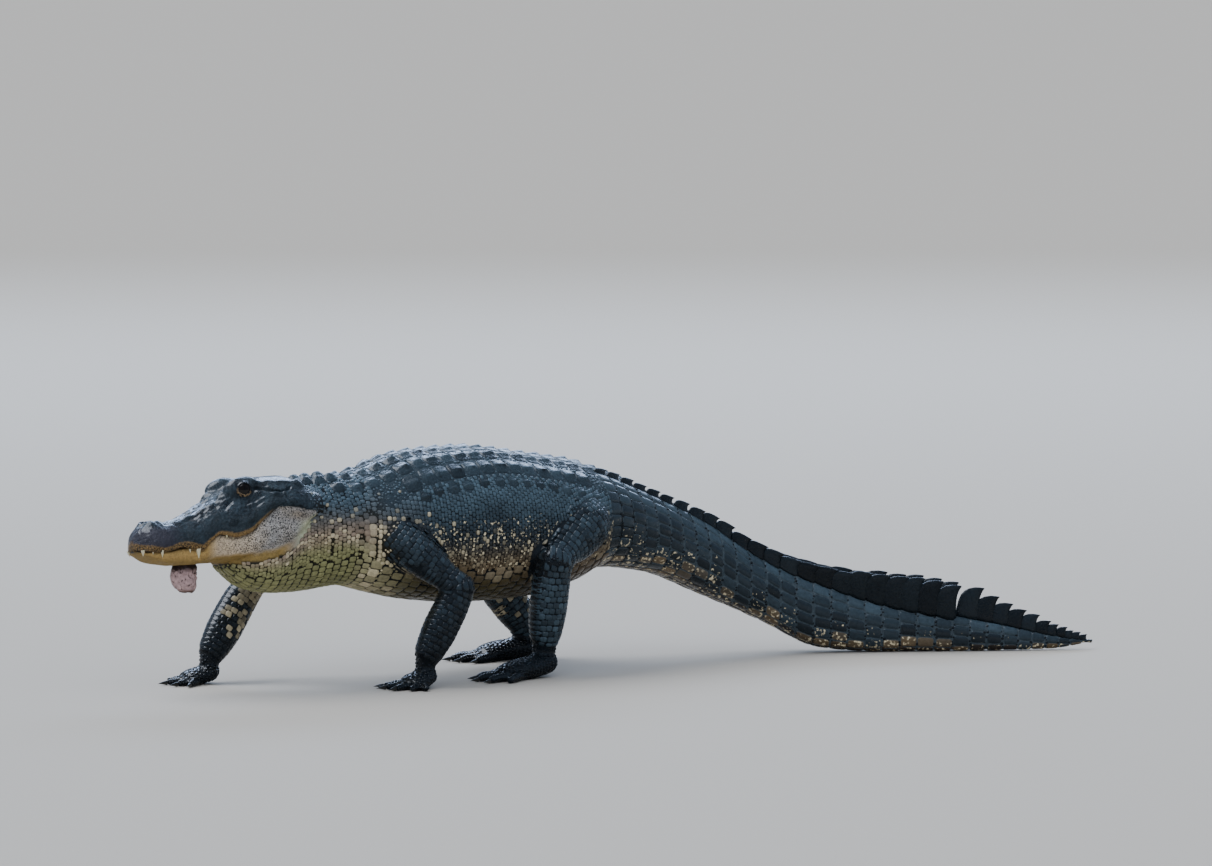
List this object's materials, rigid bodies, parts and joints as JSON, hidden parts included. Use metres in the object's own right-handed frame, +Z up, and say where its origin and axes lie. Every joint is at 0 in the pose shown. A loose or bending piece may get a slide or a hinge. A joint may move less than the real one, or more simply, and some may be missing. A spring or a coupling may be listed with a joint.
{
  "type": "american alligator",
  "caption": "Life-size walking alligator: broad snout, keeled plates along the back, high walk on bent legs and a long crested tail on the floor.",
  "frame": {"origin": "bottom centre of the bounding box, on the floor", "axes": "+X from the head towards the tail along the trunk, +Y towards the animal's right side, +Z up"},
  "size_m": [1.9566, 0.6126, 0.44],
  "materials": {
    "head_skin": "wet slate-black skin, tan at the lips",
    "jaw_skin": "tan and grey speckled skin",
    "throat_skin": "cream scales with black gaps",
    "body_skin": "wet blue-black armoured skin, tan belly",
    "tail_skin": "wet black skin with cream blotches low on the sides",
    "leg_skin": "wet black wrinkled skin",
    "eye": "wet dark brown",
    "claw": "dark horn",
    "growth": "dull pink bare flesh"
  },
  "bodies": {
    "root": {"head_upper": "head_skin", "lower_jaw": "jaw_skin", "eye_left": "eye", "eye_right": "eye", "throat_growth": "growth", "throat": "throat_skin", "neck": "throat_skin", "chest": "body_skin", "belly": "body_skin", "pelvis": "body_skin", "tail_1": "tail_skin", "tail_2": "tail_skin", "tail_3": "tail_skin", "tail_4": "tail_skin", "tail_5": "tail_skin", "tail_6": "tail_skin", "tail_7": "tail_skin", "tail_8": "tail_skin", "tail_9": "tail_skin", "upper_arm_left": "leg_skin", "forearm_left": "leg_skin", "hand_left": "leg_skin", "claw_hand_left_1": "claw", "claw_hand_left_2": "claw", "claw_hand_left_3": "claw", "upper_arm_right": "leg_skin", "forearm_right": "leg_skin", "hand_right": "leg_skin", "claw_hand_right_1": "claw", "claw_hand_right_2": "claw", "claw_hand_right_3": "claw", "thigh_left": "leg_skin", "shank_left": "leg_skin", "foot_left": "leg_skin", "claw_foot_left_1": "claw", "claw_foot_left_2": "claw", "claw_foot_left_3": "claw", "thigh_right": "leg_skin", "shank_right": "leg_skin", "foot_right": "leg_skin", "claw_foot_right_1": "claw", "claw_foot_right_2": "claw", "claw_foot_right_3": "claw"}
  },
  "joints": []
}
